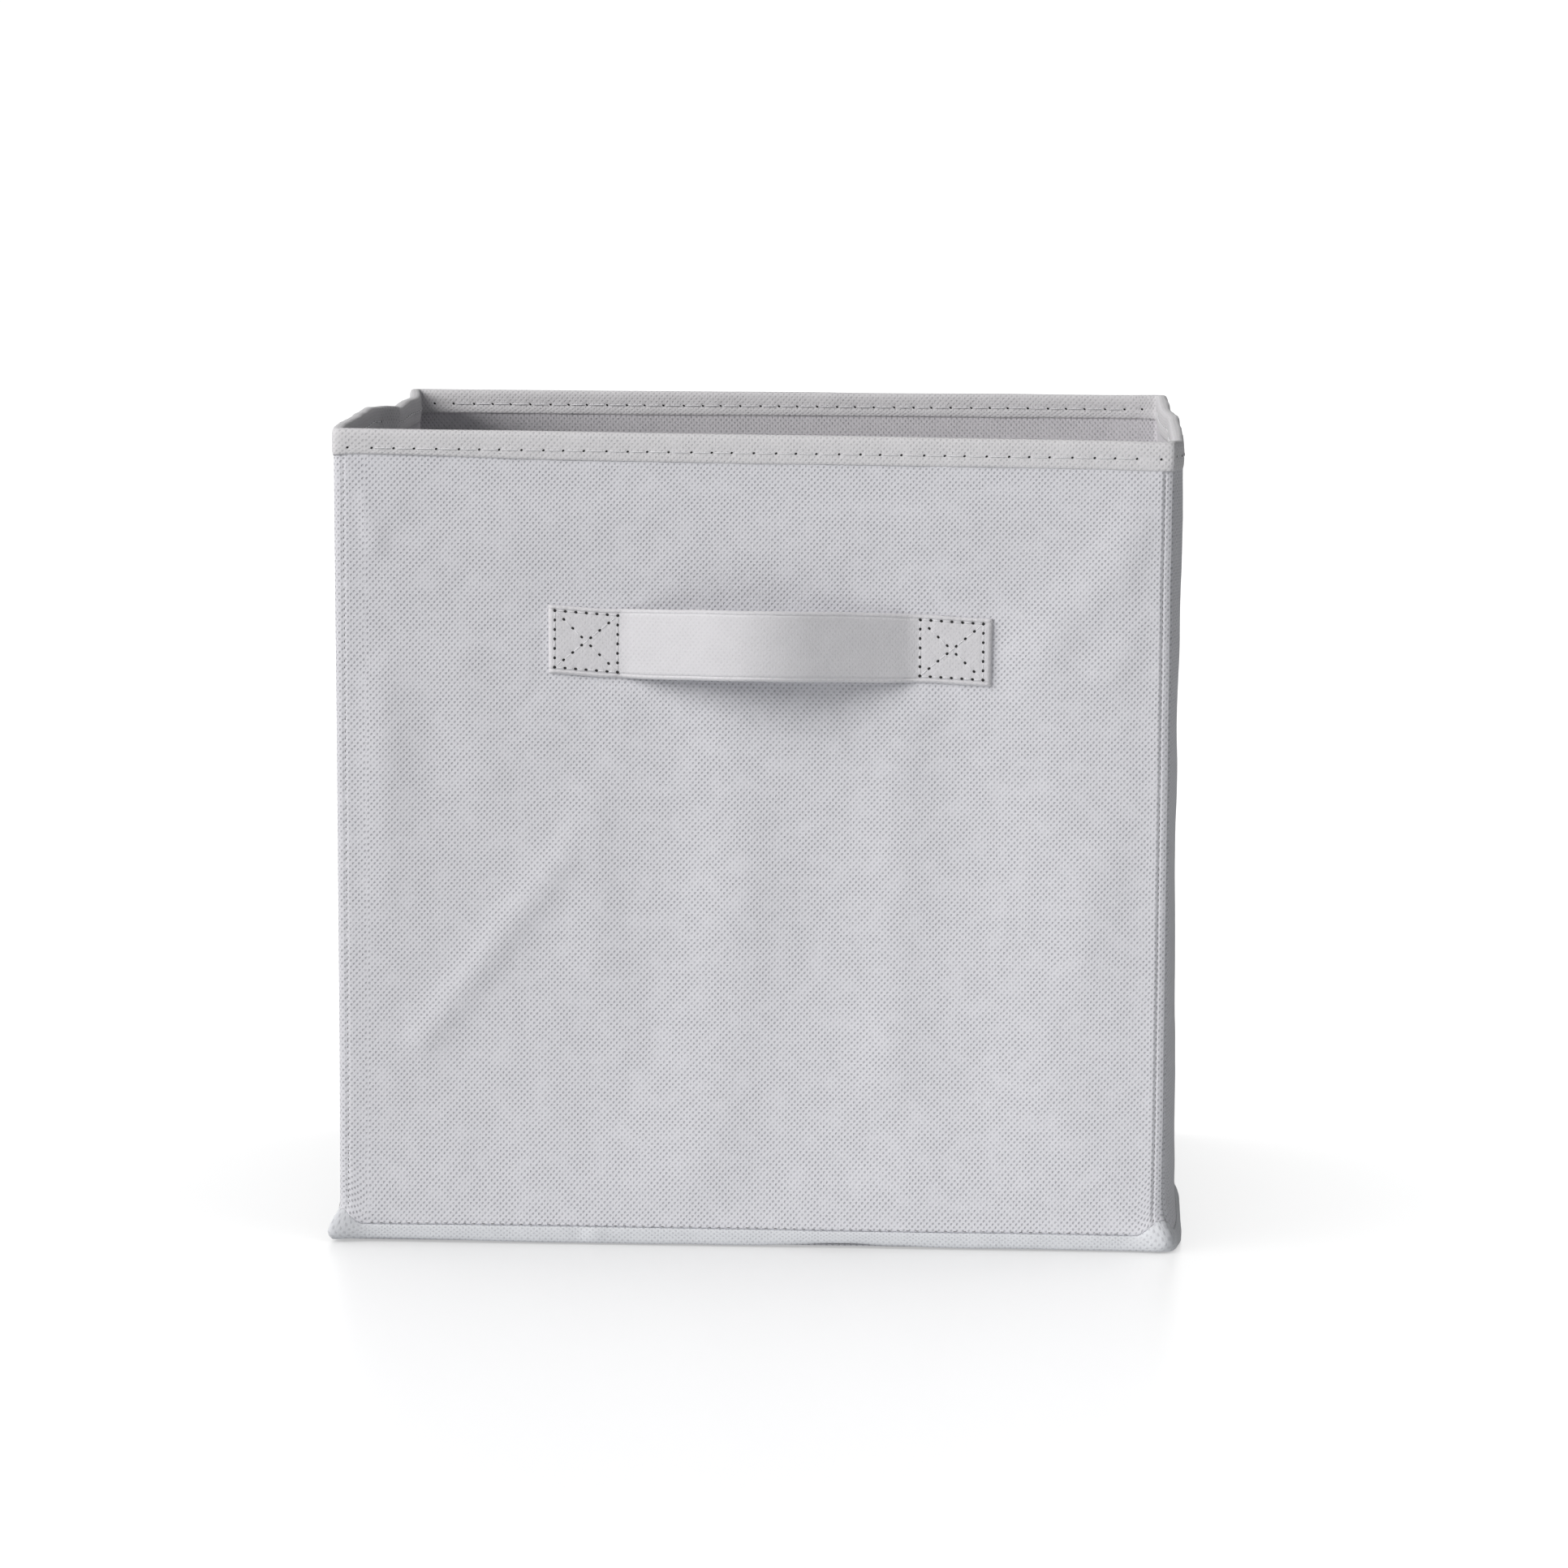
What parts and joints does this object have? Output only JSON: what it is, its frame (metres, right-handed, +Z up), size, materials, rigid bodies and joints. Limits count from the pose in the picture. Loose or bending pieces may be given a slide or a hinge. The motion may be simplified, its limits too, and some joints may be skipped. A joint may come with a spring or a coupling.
{
  "type": "fabric storage bin",
  "caption": "Open-topped collapsible cube bin of board-stiffened non-woven fabric with a bound rim, a strap handle on the front and a hinged bottom insert.",
  "frame": {"origin": "middle of the square bottom, on the surface the bin stands on", "axes": "+Z up, the front wall with the strap handle faces -Y, +X to the right seen from the front"},
  "size_m": [0.2816, 0.2975, 0.274],
  "materials": {
    "shell_fabric": "matte, embossed spunbond",
    "lining_fabric": "matte, embossed spunbond",
    "rim_binding_fabric": "matte, smooth folded binding",
    "strap_fabric": "matte, folded spunbond",
    "base_fabric": "matte, embossed spunbond",
    "insert_fabric": "matte, embossed spunbond",
    "tape_fabric": "matte",
    "sewing_thread": "satin",
    "grey_board": "matte"
  },
  "bodies": {
    "front": {"front_outer_panel": "shell_fabric", "front_board": "grey_board", "front_lining": "lining_fabric", "front_rim_binding": "rim_binding_fabric", "front_bottom_hem": "shell_fabric", "front_threads": "sewing_thread", "base_fabric": "base_fabric", "corner_front_left": "shell_fabric", "corner_front_right": "shell_fabric", "handle_strap": "strap_fabric", "handle_threads_left": "sewing_thread", "handle_threads_right": "sewing_thread"},
    "left_front": {"left_front_outer_panel": "shell_fabric", "left_front_board": "grey_board", "left_front_lining": "lining_fabric", "left_front_rim_binding": "rim_binding_fabric", "left_front_bottom_hem": "shell_fabric", "left_front_threads": "sewing_thread"},
    "left_rear": {"left_rear_outer_panel": "shell_fabric", "left_rear_board": "grey_board", "left_rear_lining": "lining_fabric", "left_rear_rim_binding": "rim_binding_fabric", "left_rear_bottom_hem": "shell_fabric", "left_rear_threads": "sewing_thread", "left_crease_web": "shell_fabric"},
    "back": {"back_outer_panel": "shell_fabric", "back_board": "grey_board", "back_lining": "lining_fabric", "back_rim_binding": "rim_binding_fabric", "back_bottom_hem": "shell_fabric", "back_threads": "sewing_thread", "corner_back_left": "shell_fabric", "corner_back_right": "shell_fabric", "wall_hinge_tape": "tape_fabric"},
    "right_front": {"right_front_outer_panel": "shell_fabric", "right_front_board": "grey_board", "right_front_lining": "lining_fabric", "right_front_rim_binding": "rim_binding_fabric", "right_front_bottom_hem": "shell_fabric", "right_front_threads": "sewing_thread"},
    "right_rear": {"right_rear_outer_panel": "shell_fabric", "right_rear_board": "grey_board", "right_rear_lining": "lining_fabric", "right_rear_rim_binding": "rim_binding_fabric", "right_rear_bottom_hem": "shell_fabric", "right_rear_threads": "sewing_thread", "right_crease_web": "shell_fabric"},
    "insert": {"base_insert_cover": "insert_fabric", "base_insert_board": "grey_board", "base_insert_hinge_tape": "tape_fabric"}
  },
  "joints": [
    {"name": "fold", "type": "hinge", "parent": "front", "child": "left_front", "pos_m": [-0.1345, -0.133, 0.137], "axis": [0, 0, -1], "range_deg": [0, 90], "deforming": ["base_fabric", "base_insert_cover", "base_insert_board", "base_insert_hinge_tape"]},
    {"name": "left_crease", "type": "hinge", "parent": "left_front", "child": "left_rear", "pos_m": [-0.144, 0, 0.137], "axis": [0, 0, 1], "range_deg": [0, 180]},
    {"name": "back_left_corner", "type": "hinge", "parent": "left_rear", "child": "back", "pos_m": [-0.1345, 0.133, 0.137], "axis": [0, 0, -1], "range_deg": [0, 90]},
    {"name": "front_right_corner", "type": "hinge", "parent": "front", "child": "right_front", "pos_m": [0.1345, -0.133, 0.137], "axis": [0, 0, 1], "range_deg": [0, 90]},
    {"name": "right_crease", "type": "hinge", "parent": "right_front", "child": "right_rear", "pos_m": [0.144, 0, 0.137], "axis": [0, 0, -1], "range_deg": [0, 180]},
    {"name": "insert_tip", "type": "hinge", "parent": "back", "child": "insert", "pos_m": [0, 0.1335, 0.0026], "axis": [-1, 0, 0], "range_deg": [0, 90]}
  ],
  "couplings": [
    {"joint": "left_crease", "follows": "fold", "ratio": 2},
    {"joint": "back_left_corner", "follows": "fold", "ratio": 1},
    {"joint": "front_right_corner", "follows": "fold", "ratio": 1},
    {"joint": "right_crease", "follows": "fold", "ratio": 2},
    {"joint": "insert_tip", "follows": "fold", "ratio": 1}
  ]
}
